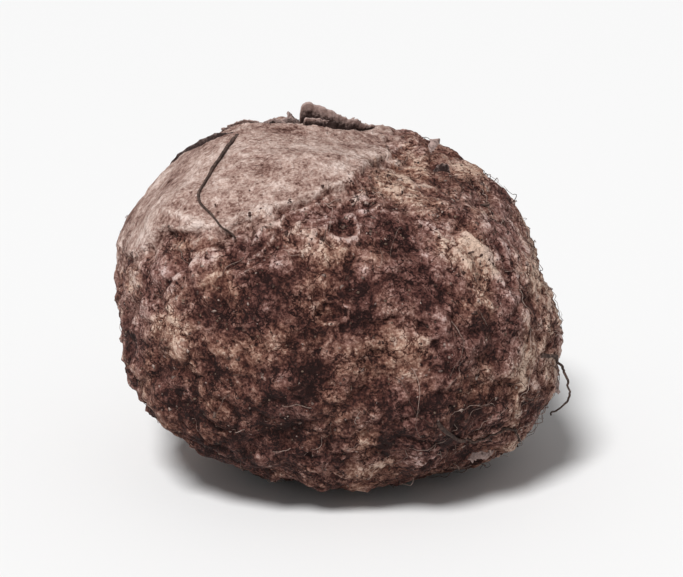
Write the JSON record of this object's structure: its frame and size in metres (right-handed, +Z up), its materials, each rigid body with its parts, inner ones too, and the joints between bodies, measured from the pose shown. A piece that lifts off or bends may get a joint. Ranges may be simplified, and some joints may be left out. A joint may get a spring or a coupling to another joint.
{
  "type": "elephant foot yam corm",
  "caption": "Whole round brown yam corm, a potato-like tuber, with scarred bark, pale crown skin, old leaf scale and dried rootlets, resting on a flat spot.",
  "frame": {"origin": "bottom centre of the whole object's bounding box, in the plane of the flat spot that it rests on", "axes": "+X to the right and +Y away from someone who faces the front, +Z up; the crown points up and a little back"},
  "size_m": [0.1266, 0.1192, 0.1014],
  "materials": {
    "corm_skin": "matt, rough bark-like skin: dark purple-brown with pale scurf, ring-shaped root scars and a pinkish tan crown",
    "dry_scale": "dry, ragged, nearly black old leaf scale with a grey edge",
    "dry_rootlet": "dry, wiry, dark brown root fibre"
  },
  "bodies": {
    "root": {"corm": "corm_skin", "crown_scale": "dry_scale", "rootlet_crown_front": "dry_rootlet", "rootlet_right_hook": "dry_rootlet", "rootlet_left_side": "dry_rootlet", "rootlet_back_long": "dry_rootlet", "rootlet_back_low": "dry_rootlet", "rootlet_low_front": "dry_rootlet"}
  },
  "joints": []
}
